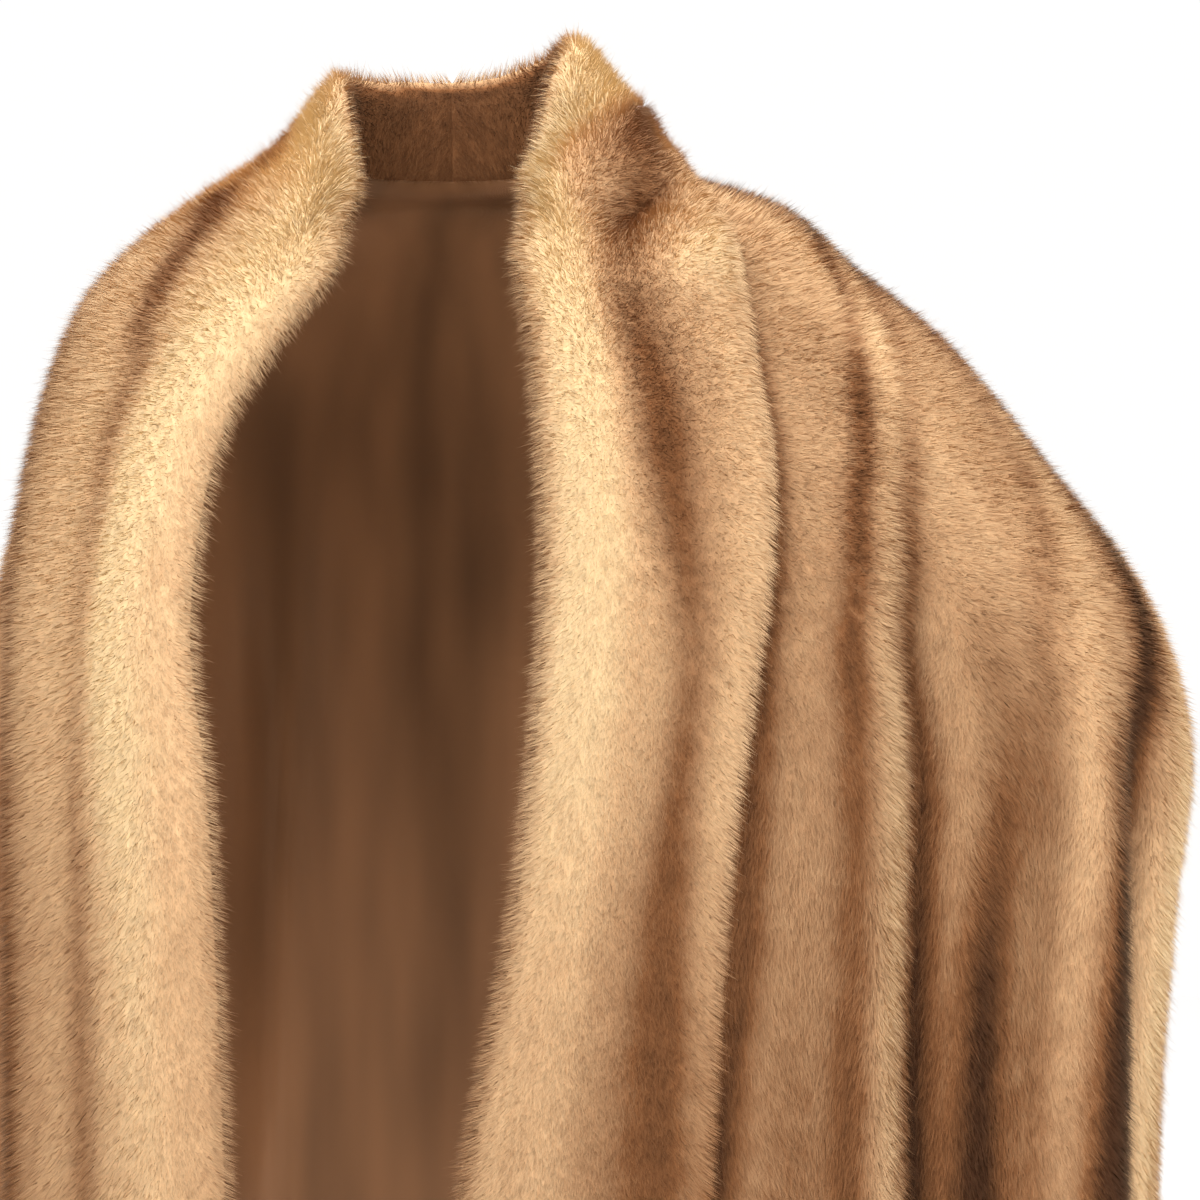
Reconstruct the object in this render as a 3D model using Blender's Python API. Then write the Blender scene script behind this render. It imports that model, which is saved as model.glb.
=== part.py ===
"""A fur evening stole, cut like a short cape with a wide shawl collar, in its hollow worn form.

Metres, +Z up. The front faces -Y, +X is the wearer's left, and the origin is at the nape, on the
inner face of the back, where the stole hangs. Angles go round the wearer in degrees: 0 at the
centre front, 90 at the wearer's left side, 180 at the centre back, 270 at the right side. Levels
go down the garment: -1 at the top of the collar's stand, 0 at the neckline, 11 at the hem.
"""

import bmesh
import bpy
import numpy as np

GARMENT = "evening_stole"

# Thickness of leather, lining and pile together, and the room between pieces.
WALL = 0.016
COLLAR_WALL = 0.017
SEAM = 0.0004
CLEARANCE = 0.0026
THIN_EDGE = 0.35
HEM_ROUNDING = 0.10
HEM = 11.0
FOLD_REACH = 0.985
NORMAL_STEPS = (3.0, 0.6)

# The nape, measured from the axis of the neck: the origin of the finished part.
NAPE_ANGLE = 180.0
NAPE_LEVEL = 0.25

# Half widths and depths of the inner face from the axis of the neck, with their heights.
SECTION_COLUMNS = (
    "level", "left", "right", "front", "back",
    "left_z", "right_z", "front_z", "back_z", "square",
)
SECTIONS = (
    (-1, 0.056, 0.050, 0.050, 0.062, 0.098, 0.076, 0.020, 0.084, 2.00),
    (0, 0.068, 0.065, 0.062, 0.070, 0.018, 0.015, -0.012, 0.018, 2.00),
    (1, 0.122, 0.112, 0.085, 0.090, 0.004, -0.020, -0.036, -0.002, 2.00),
    (2, 0.164, 0.152, 0.105, 0.104, -0.006, -0.050, -0.060, -0.026, 2.00),
    (3, 0.197, 0.175, 0.122, 0.115, -0.020, -0.066, -0.084, -0.052, 2.00),
    (4, 0.226, 0.190, 0.136, 0.124, -0.047, -0.084, -0.112, -0.086, 2.05),
    (5, 0.282, 0.207, 0.150, 0.134, -0.094, -0.118, -0.150, -0.132, 2.10),
    (6, 0.337, 0.229, 0.163, 0.141, -0.161, -0.172, -0.200, -0.190, 2.15),
    (7, 0.392, 0.250, 0.173, 0.145, -0.233, -0.240, -0.262, -0.256, 2.20),
    (8, 0.417, 0.261, 0.178, 0.147, -0.313, -0.315, -0.332, -0.328, 2.25),
    (9, 0.408, 0.267, 0.180, 0.149, -0.404, -0.404, -0.415, -0.408, 2.30),
    (10, 0.399, 0.270, 0.181, 0.152, -0.522, -0.522, -0.532, -0.520, 2.30),
    (11, 0.397, 0.271, 0.180, 0.156, -0.668, -0.664, -0.690, -0.660, 2.30),
)

# The collar round the neck, station by station from the centre back to the side of the neck.
NECK_COLUMNS = ("angle", "roll_level", "free_turn", "free_level", "rise")
NECK_LEFT = (
    (180, -1.00, 0, 2.60, 0.046),
    (155, -1.00, 2, 2.50, 0.048),
    (130, -1.00, 4, 2.15, 0.052),
    (108, -1.00, 4, 1.60, 0.058),
    (88, -0.98, 2, 1.20, 0.064),
    (72, -0.92, 1, 1.25, 0.062),
)
NECK_RIGHT = (
    (180, -1.00, 0, 2.60, 0.046),
    (205, -1.00, 0, 2.60, 0.044),
    (230, -1.00, 0, 2.60, 0.042),
    (252, -1.00, -2, 2.50, 0.040),
    (272, -0.98, -4, 2.45, 0.040),
    (288, -0.92, -10, 2.75, 0.040),
)

# The collar down each front: distances from the centre plane, positive on the wearer's own side.
FRONT_COLUMNS = ("level", "seam", "roll", "roll_level", "free", "free_level", "rise")
FRONT_LEFT = (
    (0, 0.0585, 0.051, -0.80, 0.134, 1.55, 0.052),
    (0.5, 0.0590, 0.046, -0.35, 0.150, 2.35, 0.043),
    (1, 0.0590, 0.042, 0.20, 0.158, 3.10, 0.038),
    (2, 0.0610, 0.042, 1.50, 0.166, 4.10, 0.036),
    (3, 0.0640, 0.045, 2.70, 0.170, 4.70, 0.036),
    (4, 0.0680, 0.050, 3.85, 0.175, 5.20, 0.036),
    (5, 0.0720, 0.054, 4.95, 0.178, 5.70, 0.036),
    (6, 0.0750, 0.057, 6.00, 0.177, 6.35, 0.036),
    (7, 0.0740, 0.056, 7.00, 0.170, 7.10, 0.036),
    (8, 0.0680, 0.050, 8.00, 0.160, 8.02, 0.036),
    (9, 0.0570, 0.039, 9.00, 0.151, 9.00, 0.036),
    (10, 0.0350, 0.017, 10.00, 0.145, 10.00, 0.036),
    (11, 0.0150, -0.003, 11.00, 0.141, 11.00, 0.036),
)
FRONT_RIGHT = (
    (0, 0.0560, 0.048, -0.80, 0.175, 3.10, 0.042),
    (0.5, 0.0590, 0.045, -0.35, 0.182, 3.55, 0.040),
    (1, 0.0620, 0.044, 0.25, 0.188, 4.00, 0.038),
    (2, 0.0700, 0.052, 1.60, 0.198, 4.70, 0.036),
    (3, 0.0860, 0.068, 2.80, 0.206, 5.25, 0.036),
    (4, 0.1050, 0.087, 3.90, 0.212, 5.70, 0.036),
    (5, 0.1250, 0.107, 4.95, 0.216, 6.10, 0.036),
    (6, 0.1380, 0.120, 6.00, 0.220, 6.60, 0.036),
    (7, 0.1420, 0.124, 7.00, 0.222, 7.15, 0.036),
    (8, 0.1330, 0.115, 8.00, 0.222, 8.02, 0.036),
    (9, 0.1280, 0.110, 9.00, 0.221, 9.00, 0.036),
    (10, 0.1230, 0.105, 10.00, 0.220, 10.00, 0.036),
    (11, 0.1190, 0.101, 11.00, 0.219, 11.00, 0.036),
)

# Ridges (raised) and troughs (sunk) of the hanging body, from the wearer's left front round the
# back. Each hangs plumb above its place at the hem and fades in between two levels.
FOLD_COLUMNS = ("hem_angle", "width", "height", "start", "full")
FOLDS = (
    (32.5, 3.4, 0.009, 4.8, 7.0),
    (37.5, 3.1, -0.019, 5.5, 7.6),
    (47.0, 6.5, -0.007, 6.0, 9.0),
    (61.5, 5.5, 0.014, 6.8, 8.8),
    (73.5, 4.6, -0.022, 7.0, 8.8),
    (92.0, 7.0, 0.006, 7.8, 10.0),
    (108.0, 5.5, -0.018, 7.2, 9.4),
    (121.0, 6.0, 0.012, 6.4, 9.5),
    (134.0, 5.5, -0.020, 5.6, 8.5),
    (150.0, 7.0, 0.013, 4.6, 9.0),
    (167.0, 6.0, -0.016, 5.0, 9.5),
    (183.0, 7.0, 0.011, 4.2, 9.0),
    (200.0, 5.5, -0.018, 4.4, 8.0),
    (217.0, 7.0, 0.012, 4.8, 9.5),
    (235.0, 5.5, -0.019, 5.9, 9.0),
    (253.0, 6.5, 0.009, 7.6, 10.0),
    (269.0, 5.5, -0.011, 8.2, 10.0),
    (284.0, 5.0, 0.006, 7.8, 9.8),
)

# The pinch where the collar breaks over the wearer's left shoulder, with a lobe above and below
# it: station and reach along the collar, place and spread across it from roll to free edge, and
# how many stations up the collar it slants from roll to free edge.
DENT_COLUMNS = ("station", "reach", "across", "spread", "slant", "height")
DENTS = (
    (7.60, 0.42, 0.64, 0.17, 4.4, -0.014),
    (6.40, 0.60, 0.62, 0.20, 3.0, 0.003),
    (8.70, 0.55, 0.76, 0.22, 2.0, 0.006),
)

PANEL_SEAM_LEFT = 100.0
PANEL_SEAM_RIGHT = 260.0
BACK_COLUMNS = 38
LEFT_COLUMNS = 38
RIGHT_COLUMNS = 20
COLUMN_CROWDING = ((0.0, 0.15, 0.85, 1.0), (0.0, 0.21, 0.79, 1.0))
DOWN_ROWS = 23
DOWN_CROWDING = 1.35
HEM_ROWS = (0.06, 0.02, 0.0)
NECK_STATIONS = 21
FALL_POINTS = 11
FALL_CROWDING = 1.3
TOP_CROWDING = 0.11
STAND_SHARES = (0.0, 0.35, 0.7)
CORNER_GAP, CORNER_LEVEL, CORNER_REACH = 0.0032, 0.55, 0.75
PLACE_STEPS = 2000
SMALL_TURN = 0.5
SHARP_EDGE = 50.0

# The collar's outer profile: shares of the way from roll to seam, with the share of the rise
# reached there on the front and round the neck, then distances from the free edge with the
# share of the collar's thickness that is left there.
ROLL_PROFILE = ((0.0, 0.20, 0.14), (0.10, 0.54, 0.36), (0.45, 0.88, 0.76), (1.0, 1.0, 1.0))
EDGE_PROFILE = ((0.016, 1.0), (0.005, 0.78), (0.0, 0.40))
FRONT_ROLL, NECK_ROLL = 0.020, 0.070
FRONT_LIFT, NECK_LIFT = 0.45, 0.78

HONEY = (0.62, 0.40, 0.20, 1.0)
TAN = (0.45, 0.25, 0.12, 1.0)
BROWN = (0.28, 0.14, 0.065, 1.0)
FUR_ROUGHNESS = 0.75


def column(columns, rows, name):
    return np.array([row[columns.index(name)] for row in rows], float)


def spline(places, values, at):
    """A smooth curve through the values at rising places, read where it is asked for."""
    slopes = np.gradient(values, places)
    at = np.asarray(at, float)
    cell = np.clip(np.searchsorted(places, at, side="right") - 1, 0, len(places) - 2)
    width = places[cell + 1] - places[cell]
    part = (at - places[cell]) / width
    start = values[cell] * (1 + 2 * part) + slopes[cell] * width * part
    finish = values[cell + 1] * (3 - 2 * part) - slopes[cell + 1] * width * (1 - part)
    return start * (1 - part) ** 2 + finish * part**2


def section(name, level):
    levels = column(SECTION_COLUMNS, SECTIONS, "level")
    return spline(levels, column(SECTION_COLUMNS, SECTIONS, name), level)


def ease(value):
    value = np.clip(value, 0.0, 1.0)
    return value * value * (3 - 2 * value)


def plain_point(angle, level):
    """The inner face before any fold: a squared ellipse at each level, higher or lower all round."""
    turn = np.radians(angle)
    side, fore = np.sin(turn), np.cos(turn)
    power = 2.0 / section("square", level)
    across = np.where(side >= 0, section("left", level), section("right", level))
    along = np.where(fore >= 0, section("front", level), section("back", level))
    side_z = np.where(side >= 0, section("left_z", level), section("right_z", level))
    fore_z = np.where(fore >= 0, section("front_z", level), section("back_z", level))
    x = across * np.sign(side) * np.abs(side) ** power
    y = -along * np.sign(fore) * np.abs(fore) ** power
    return np.stack([x, y, side_z * side**2 + fore_z * fore**2], axis=-1)


def plain_normal(angle, level):
    """The outward direction of the plain inner face, from points a little to each side."""
    step_angle, step_level = NORMAL_STEPS
    round_it = plain_point(angle + step_angle, level) - plain_point(angle - step_angle, level)
    down = plain_point(angle, level + step_level) - plain_point(angle, level - step_level)
    normal = np.cross(down, round_it)
    return normal / np.linalg.norm(normal, axis=-1, keepdims=True)


def fold_angle(hem_angle, level):
    """Where a fold that hangs plumb above its place at the hem crosses a higher level."""
    side = np.sin(np.radians(hem_angle))
    half = "left" if side >= 0 else "right"
    hem_share = np.abs(side) ** (2 / section("square", HEM))
    share = np.clip(hem_share * section(half, HEM) / section(half, level), 0.0, FOLD_REACH)
    quarter = np.degrees(np.arcsin(share ** (section("square", level) / 2)))
    turned = quarter if np.cos(np.radians(hem_angle)) >= 0 else 180.0 - quarter
    return turned if side >= 0 else 360.0 - turned


def folds(angle, level):
    """How far the folds push the cloth out (ridges) or in (troughs)."""
    total = np.zeros(np.broadcast(angle, level).shape)
    for row in FOLDS:
        fold = dict(zip(FOLD_COLUMNS, row))
        middle = fold_angle(fold["hem_angle"], level)
        widening = np.abs(fold_angle(fold["hem_angle"] + 1.0, level) - middle)
        off = (angle - middle) / (fold["width"] * np.maximum(widening, 1.0))
        shown = ease((level - fold["start"]) / (fold["full"] - fold["start"]))
        total = total + fold["height"] * shown * np.exp(-(off**2))
    return total


def place(angle, level, out):
    """A point at a height above the folded inner face."""
    angle, level = np.asarray(angle, float), np.asarray(level, float)
    height = np.asarray(folds(angle, level) + out)
    return plain_point(angle, level) + plain_normal(angle, level) * height[..., None]


def angle_at(level, across, own_side):
    """The angle whose point on the front lies this far from the centre plane."""
    left = across * own_side >= 0
    half = np.where(left, section("left", level), section("right", level))
    share = np.clip(np.abs(across) / half, 0.0, 1.0) ** (section("square", level) / 2)
    turn = np.degrees(np.arcsin(share)) * np.where(left, 1.0, -1.0)
    return turn if own_side > 0 else 360.0 + turn


def front_edge(level, own_side):
    """The angle of the body's front edge, where the collar is sewn on."""
    rows = FRONT_LEFT if own_side > 0 else FRONT_RIGHT
    levels = column(FRONT_COLUMNS, rows, "level")
    return angle_at(level, spline(levels, column(FRONT_COLUMNS, rows, "seam"), level), own_side)


def angle_step(angle, level, distance):
    """The turn that moves a point round the garment by this distance."""
    reach = plain_point(angle + SMALL_TURN, level) - plain_point(angle - SMALL_TURN, level)
    return 2 * SMALL_TURN * distance / np.linalg.norm(reach, axis=-1)


def levels_down():
    """Rows of the body from neckline to hem, closer together at the top and at the rounded hem."""
    plain = HEM * np.linspace(0.0, 1.0, DOWN_ROWS) ** DOWN_CROWDING
    return np.concatenate([plain[:-1], HEM - np.array(HEM_ROWS)])


def pile(level):
    """Share of the pile's height that stands at a level: all of it, rounded off at the hem."""
    return THIN_EDGE + (1 - THIN_EDGE) * np.sqrt(ease((HEM - level) / HEM_ROUNDING))


def wall(name, inner, outer, colour):
    """A closed wall between two grids of points, joined along their four borders."""
    rows, columns = inner.shape[:2]
    mesh = bmesh.new()
    faces = [[[mesh.verts.new(point) for point in row] for row in grid] for grid in (inner, outer)]
    inside, outside = faces
    for i in range(rows - 1):
        for j in range(columns - 1):
            square = [(i, j), (i, j + 1), (i + 1, j + 1), (i + 1, j)]
            mesh.faces.new([outside[a][b] for a, b in square])
            mesh.faces.new([inside[a][b] for a, b in reversed(square)])
    border = [(0, j) for j in range(columns)]
    border += [(i, columns - 1) for i in range(1, rows)]
    border += [(rows - 1, j) for j in range(columns - 2, -1, -1)]
    border += [(i, 0) for i in range(rows - 2, 0, -1)]
    for here, there in zip(border, border[1:] + border[:1]):
        corners = (inside, here), (inside, there), (outside, there), (outside, here)
        mesh.faces.new([grid[a][b] for grid, (a, b) in corners])
    bmesh.ops.recalc_face_normals(mesh, faces=mesh.faces)
    data = bpy.data.meshes.new(name)
    mesh.to_mesh(data)
    mesh.free()
    data.shade_smooth()
    data.set_sharp_from_angle(angle=np.radians(SHARP_EDGE))
    data.materials.append(material(name + "_fur", colour))
    piece = bpy.data.objects.new(name, data)
    bpy.data.collections[GARMENT].objects.link(piece)
    return piece


def material(name, colour):
    made = bpy.data.materials.new(name)
    made.use_nodes = True
    shader = made.node_tree.nodes["Principled BSDF"]
    shader.inputs["Base Color"].default_value = colour
    shader.inputs["Roughness"].default_value = FUR_ROUGHNESS
    shader.inputs["Metallic"].default_value = 0.0
    return made


def nape():
    return plain_point(np.float64(NAPE_ANGLE), np.float64(NAPE_LEVEL))


def panel(name, first, last, columns, colour):
    """A body panel between two edges, each given as its angle at every level."""
    level = levels_down()[:, None]
    share = np.interp(np.linspace(0.0, 1.0, columns), *COLUMN_CROWDING)[None, :]
    angle = first(level) * (1 - share) + last(level) * share
    level = np.broadcast_to(level, angle.shape)
    inner = place(angle, level, 0.0) - nape()
    outer = place(angle, level, WALL * pile(level)) - nape()
    return wall(name, inner, outer, colour)


def side_seam(angle, towards):
    """A side seam's edge, half a seam's gap to one side of it."""
    return lambda level: angle + towards * angle_step(angle, level, SEAM / 2)


def front_seam(own_side):
    """The body's edge along the collar's seam, one seam's gap away from the collar."""

    def edge(level):
        line = front_edge(level, own_side)
        return line + own_side * angle_step(line, level, SEAM)

    return edge


def stations(own_side):
    """The collar's stations from the centre back to the hem, as columns of angles and levels."""
    neck = NECK_LEFT if own_side > 0 else NECK_RIGHT
    front = FRONT_LEFT if own_side > 0 else FRONT_RIGHT
    angle = column(NECK_COLUMNS, neck, "angle")
    level = column(FRONT_COLUMNS, front, "level")
    roll_level = column(FRONT_COLUMNS, front, "roll_level")
    free_level = column(FRONT_COLUMNS, front, "free_level")
    roll = angle_at(roll_level, column(FRONT_COLUMNS, front, "roll"), own_side)
    free = angle_at(free_level, column(FRONT_COLUMNS, front, "free"), own_side)
    seam = front_edge(level, own_side)
    turned = column(NECK_COLUMNS, neck, "free_turn")
    return {
        "seam": np.concatenate([angle, seam]),
        "seam_level": np.concatenate([0 * angle, level]),
        "roll": np.concatenate([angle, roll]),
        "roll_level": np.concatenate([column(NECK_COLUMNS, neck, "roll_level"), roll_level]),
        "free": np.concatenate([angle + turned, free]),
        "free_level": np.concatenate([column(NECK_COLUMNS, neck, "free_level"), free_level]),
        "rise": np.concatenate(
            [column(NECK_COLUMNS, neck, "rise"), column(FRONT_COLUMNS, front, "rise")]
        ),
    }


def collar(name, own_side, colour):
    """Half of the shawl collar: it stands at the neck, rolls over and lies on the body."""
    made = stations(own_side)
    index = np.arange(len(made["seam"]), dtype=float)
    at = collar_places(index, made["seam_level"])
    values = {key: spline(index, knots, at) for key, knots in made.items()}
    values["seam_level"] = np.clip(values["seam_level"], 0.0, HEM)
    on_front = values["seam_level"] > 0.0
    values["seam"] = np.where(on_front, front_edge(values["seam_level"], own_side), values["seam"])
    apart = angle_step(values["seam"][0], 0.0, SEAM / 2) * own_side
    for key in ("roll", "seam", "free"):
        values[key][0] -= apart
    shares = np.linspace(0.0, 1.0, FALL_POINTS + 1)[1:] ** FALL_CROWDING
    inner, outer = [], []
    for number, station in enumerate(at):
        here = {key: row[number] for key, row in values.items()}
        inner.append(collar_under(here, shares))
        outer.append(collar_top(here, len(inner[-1]), station if own_side > 0 else None))
    return wall(name, np.array(inner) - nape(), np.array(outer) - nape(), colour)


def collar_places(index, seam_level):
    """Stations evenly spaced round the neck, then one at each of the body's rows down the front."""
    first = len(NECK_LEFT)
    round_neck = np.linspace(0.0, first, NECK_STATIONS)[:-1]
    fine = np.linspace(first, index[-1], PLACE_STEPS)
    down = np.interp(levels_down(), spline(index, seam_level, fine), fine)
    return np.concatenate([round_neck, down])


def between(here, first, last, share):
    """Angle and level part of the way from one line of the collar to another."""
    angle = here[first] * (1 - share) + here[last] * share
    level = here[first + "_level"] * (1 - share) + here[last + "_level"] * share
    return angle, level


def collar_under(here, shares):
    """The hidden side: down the stand, over the body's top edge and out along the body."""
    rest = WALL + CLEARANCE
    corner = np.exp(-(((here["seam_level"] - CORNER_LEVEL) / CORNER_REACH) ** 2))
    last = 1.0 - (SEAM + CORNER_GAP * corner) / length(here, "roll", "seam")
    stand = [place(*between(here, "roll", "seam", part * last), 0.0) for part in STAND_SHARES]
    step = [place(*between(here, "roll", "seam", last), height) for height in (0.0, rest)]
    lying = [place(*between(here, "seam", "free", share), rest) for share in shares]
    return stand + step + lying


def collar_top(here, count, station):
    """The side that shows: from the roll, over the fall, to the free edge."""
    rest = WALL + CLEARANCE
    full = rest + COLLAR_WALL * pile(here["seam_level"])
    rise = rest + (here["rise"] - rest) * pile(here["seam_level"])
    stand, fall = length(here, "roll", "seam"), length(here, "seam", "free")
    at_neck = ease((stand - FRONT_ROLL) / (NECK_ROLL - FRONT_ROLL))
    knots = []
    for share, on_front, on_neck in ROLL_PROFILE:
        height = rise * (on_front * (1 - at_neck) + on_neck * at_neck)
        knots.append(place(*between(here, "roll", "seam", share), height))
    lift = FRONT_LIFT * (1 - at_neck) + NECK_LIFT * at_neck
    middle = full * (1 - lift) + rise * lift
    knots.append(place(*between(here, "seam", "free", 0.5), middle))
    for distance, left in EDGE_PROFILE:
        height = rest + (full - rest) * left
        knots.append(place(*between(here, "seam", "free", 1 - distance / fall), height))
    knots = np.array(knots)
    runs = np.linalg.norm(np.diff(knots, axis=0), axis=1)
    along = np.concatenate([[0.0], np.cumsum(runs)])
    share = np.linspace(0.0, 1.0, count)
    share = share - TOP_CROWDING * np.sin(2 * np.pi * share)
    points = np.stack([spline(along, knots[:, axis], along[-1] * share) for axis in range(3)], -1)
    if station is None:
        return points
    outward = plain_normal(*between(here, "seam", "free", share))
    return points + outward * dents(station, share)[:, None]


def dents(station, across):
    """How far the pinch and its lobes move the left half's outer side."""
    total = 0.0 * across
    for row in DENTS:
        dent = dict(zip(DENT_COLUMNS, row))
        off = across - dent["across"]
        along = (station - dent["station"] + dent["slant"] * off) / dent["reach"]
        total = total + dent["height"] * np.exp(-(along**2) - (off / dent["spread"]) ** 2)
    return total


def length(here, first, last):
    """The straight distance between two lines of the collar at one station."""
    ends = [place(*between(here, first, last, share), 0.0) for share in (0.0, 1.0)]
    return np.linalg.norm(ends[1] - ends[0])


def main():
    for old in list(bpy.data.objects):
        bpy.data.objects.remove(old)
    bpy.context.scene.collection.children.link(bpy.data.collections.new(GARMENT))
    left_side = [side_seam(PANEL_SEAM_LEFT, towards) for towards in (-1, 1)]
    right_side = [side_seam(PANEL_SEAM_RIGHT, towards) for towards in (-1, 1)]
    panel("body_left_front", front_seam(1), left_side[0], LEFT_COLUMNS, TAN)
    panel("body_back", left_side[1], right_side[0], BACK_COLUMNS, BROWN)
    panel("body_right_front", right_side[1], front_seam(-1), RIGHT_COLUMNS, TAN)
    collar("collar_left", 1, HONEY)
    collar("collar_right", -1, HONEY)


if __name__ == "__main__":
    main()
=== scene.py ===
"""Finish of a fur evening stole with a shawl collar: leather and lining sheets, pelts and strands.

Metres, +Z up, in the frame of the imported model: the front faces -Y, +X is the wearer's left and
the origin is at the nape. Angles go round the wearer in degrees: 0 at the centre front, 90 at the
wearer's left side, 180 at the centre back. Levels go down the garment: -1 at the top of the
collar's stand, 0 at the neckline, 11 at the hem.
"""

import bmesh
import bpy
import numpy as np
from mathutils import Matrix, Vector


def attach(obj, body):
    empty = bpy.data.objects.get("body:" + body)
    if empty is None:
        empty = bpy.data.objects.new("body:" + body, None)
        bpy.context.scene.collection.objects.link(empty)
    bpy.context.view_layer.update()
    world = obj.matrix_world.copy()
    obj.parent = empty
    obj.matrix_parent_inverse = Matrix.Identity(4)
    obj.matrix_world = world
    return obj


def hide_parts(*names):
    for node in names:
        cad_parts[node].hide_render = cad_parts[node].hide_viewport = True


bl_info = {
    "name": "Fur evening stole",
    "version": (1, 0, 0),
    "blender": (4, 5, 0),
    "location": "3D View > Sidebar > Stole",
    "description": "Dresses a worn fur stole with leather, lining and strands of fur",
    "category": "Object",
}

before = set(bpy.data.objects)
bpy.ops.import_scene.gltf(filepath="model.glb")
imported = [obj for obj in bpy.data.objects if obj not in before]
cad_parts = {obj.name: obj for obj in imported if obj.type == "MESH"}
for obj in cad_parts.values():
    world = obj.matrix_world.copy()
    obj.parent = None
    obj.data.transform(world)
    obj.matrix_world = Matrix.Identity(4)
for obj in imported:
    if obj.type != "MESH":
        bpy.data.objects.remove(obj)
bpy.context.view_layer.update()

# The garment's form, the same as in the part's source: thickness of the walls, the space between
# body and collar, how near a side's widest point a fold may come, and the steps in degrees and
# levels that give the surface's direction.
WALL = 0.016
COLLAR_WALL = 0.017
CLEARANCE = 0.0026
HEM = 11.0
FOLD_REACH = 0.985
NORMAL_STEPS = (3.0, 0.6)
NAPE_ANGLE = 180.0
NAPE_LEVEL = 0.25

# The inner face at each level: its reach to each side, its height there and how square it is.
SECTION_COLUMNS = (
    "level", "left", "right", "front", "back",
    "left_z", "right_z", "front_z", "back_z", "square",
)
SECTIONS = (
    (-1, 0.056, 0.050, 0.050, 0.062, 0.098, 0.076, 0.020, 0.084, 2.00),
    (0, 0.068, 0.065, 0.062, 0.070, 0.018, 0.015, -0.012, 0.018, 2.00),
    (1, 0.122, 0.112, 0.085, 0.090, 0.004, -0.020, -0.036, -0.002, 2.00),
    (2, 0.164, 0.152, 0.105, 0.104, -0.006, -0.050, -0.060, -0.026, 2.00),
    (3, 0.197, 0.175, 0.122, 0.115, -0.020, -0.066, -0.084, -0.052, 2.00),
    (4, 0.226, 0.190, 0.136, 0.124, -0.047, -0.084, -0.112, -0.086, 2.05),
    (5, 0.282, 0.207, 0.150, 0.134, -0.094, -0.118, -0.150, -0.132, 2.10),
    (6, 0.337, 0.229, 0.163, 0.141, -0.161, -0.172, -0.200, -0.190, 2.15),
    (7, 0.392, 0.250, 0.173, 0.145, -0.233, -0.240, -0.262, -0.256, 2.20),
    (8, 0.417, 0.261, 0.178, 0.147, -0.313, -0.315, -0.332, -0.328, 2.25),
    (9, 0.408, 0.267, 0.180, 0.149, -0.404, -0.404, -0.415, -0.408, 2.30),
    (10, 0.399, 0.270, 0.181, 0.152, -0.522, -0.522, -0.532, -0.520, 2.30),
    (11, 0.397, 0.271, 0.180, 0.156, -0.668, -0.664, -0.690, -0.660, 2.30),
)

# The collar round the neck, by angle, and down the front, by level: where it is sewn on, where it
# rolls over and where it ends, and how far the roll stands out.
NECK_COLUMNS = ("angle", "roll_level", "free_turn", "free_level", "rise")
NECK_LEFT = (
    (180, -1.00, 0, 2.60, 0.046),
    (155, -1.00, 2, 2.50, 0.048),
    (130, -1.00, 4, 2.15, 0.052),
    (108, -1.00, 4, 1.60, 0.058),
    (88, -0.98, 2, 1.20, 0.064),
    (72, -0.92, 1, 1.25, 0.062),
)
NECK_RIGHT = (
    (180, -1.00, 0, 2.60, 0.046),
    (205, -1.00, 0, 2.60, 0.044),
    (230, -1.00, 0, 2.60, 0.042),
    (252, -1.00, -2, 2.50, 0.040),
    (272, -0.98, -4, 2.45, 0.040),
    (288, -0.92, -10, 2.75, 0.040),
)

FRONT_COLUMNS = ("level", "seam", "roll", "roll_level", "free", "free_level", "rise")
FRONT_LEFT = (
    (0, 0.0585, 0.051, -0.80, 0.134, 1.55, 0.052),
    (0.5, 0.0590, 0.046, -0.35, 0.150, 2.35, 0.043),
    (1, 0.0590, 0.042, 0.20, 0.158, 3.10, 0.038),
    (2, 0.0610, 0.042, 1.50, 0.166, 4.10, 0.036),
    (3, 0.0640, 0.045, 2.70, 0.170, 4.70, 0.036),
    (4, 0.0680, 0.050, 3.85, 0.175, 5.20, 0.036),
    (5, 0.0720, 0.054, 4.95, 0.178, 5.70, 0.036),
    (6, 0.0750, 0.057, 6.00, 0.177, 6.35, 0.036),
    (7, 0.0740, 0.056, 7.00, 0.170, 7.10, 0.036),
    (8, 0.0680, 0.050, 8.00, 0.160, 8.02, 0.036),
    (9, 0.0570, 0.039, 9.00, 0.151, 9.00, 0.036),
    (10, 0.0350, 0.017, 10.00, 0.145, 10.00, 0.036),
    (11, 0.0150, -0.003, 11.00, 0.141, 11.00, 0.036),
)
FRONT_RIGHT = (
    (0, 0.0560, 0.048, -0.80, 0.175, 3.10, 0.042),
    (0.5, 0.0590, 0.045, -0.35, 0.182, 3.55, 0.040),
    (1, 0.0620, 0.044, 0.25, 0.188, 4.00, 0.038),
    (2, 0.0700, 0.052, 1.60, 0.198, 4.70, 0.036),
    (3, 0.0860, 0.068, 2.80, 0.206, 5.25, 0.036),
    (4, 0.1050, 0.087, 3.90, 0.212, 5.70, 0.036),
    (5, 0.1250, 0.107, 4.95, 0.216, 6.10, 0.036),
    (6, 0.1380, 0.120, 6.00, 0.220, 6.60, 0.036),
    (7, 0.1420, 0.124, 7.00, 0.222, 7.15, 0.036),
    (8, 0.1330, 0.115, 8.00, 0.222, 8.02, 0.036),
    (9, 0.1280, 0.110, 9.00, 0.221, 9.00, 0.036),
    (10, 0.1230, 0.105, 10.00, 0.220, 10.00, 0.036),
    (11, 0.1190, 0.101, 11.00, 0.219, 11.00, 0.036),
)

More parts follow.
